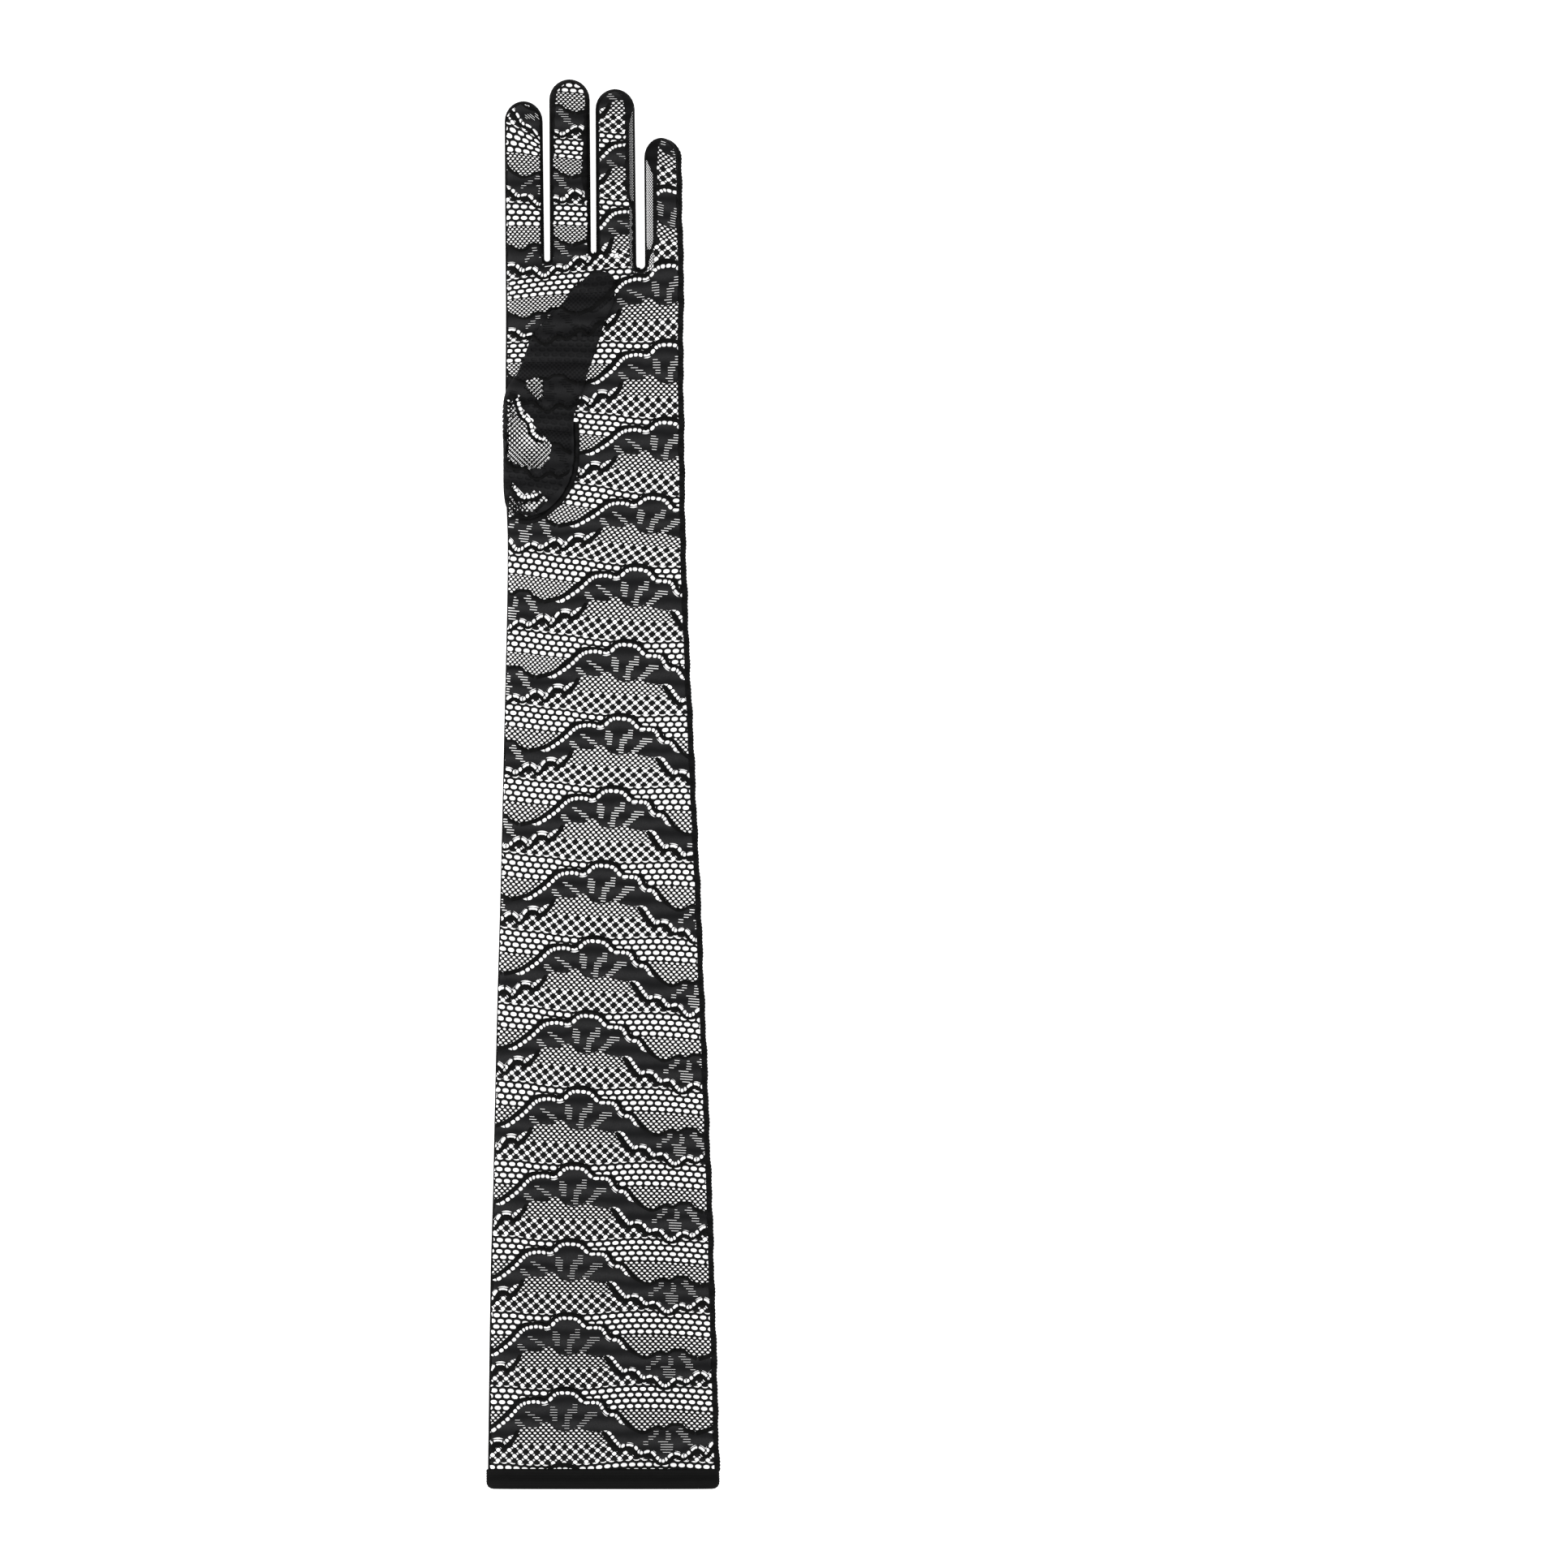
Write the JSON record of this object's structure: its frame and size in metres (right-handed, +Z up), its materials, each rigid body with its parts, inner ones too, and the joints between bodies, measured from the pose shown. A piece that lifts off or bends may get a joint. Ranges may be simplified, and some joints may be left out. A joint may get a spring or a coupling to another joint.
{
  "type": "lace opera glove",
  "caption": "Long left-hand glove of floral lace, lying flat palm up, with its thumb folded over the palm, a knitted hem band and sewn side seams.",
  "frame": {"origin": "on the surface that the glove lies on, under the middle of its outline", "axes": "+Y towards the fingertips, +X towards the little finger, +Z up from the surface, out of the palm"},
  "size_m": [0.1036, 0.6242, 0.0153],
  "materials": {
    "lace": "black nylon and spandex stretch lace, matt with a faint thread sheen",
    "tulle": "sheer black stretch tulle",
    "hem_knit": "black elastic knit, fine ribs along the band",
    "seam_thread": "black overlock thread, close stitches"
  },
  "bodies": {
    "root": {"lace_trank": "lace", "thumb_stall": "lace", "fourchette_index_middle": "tulle", "fourchette_middle_ring": "tulle", "fourchette_ring_little": "tulle", "hem_band": "hem_knit", "side_seam": "seam_thread", "thumb_seam": "seam_thread"}
  },
  "joints": []
}
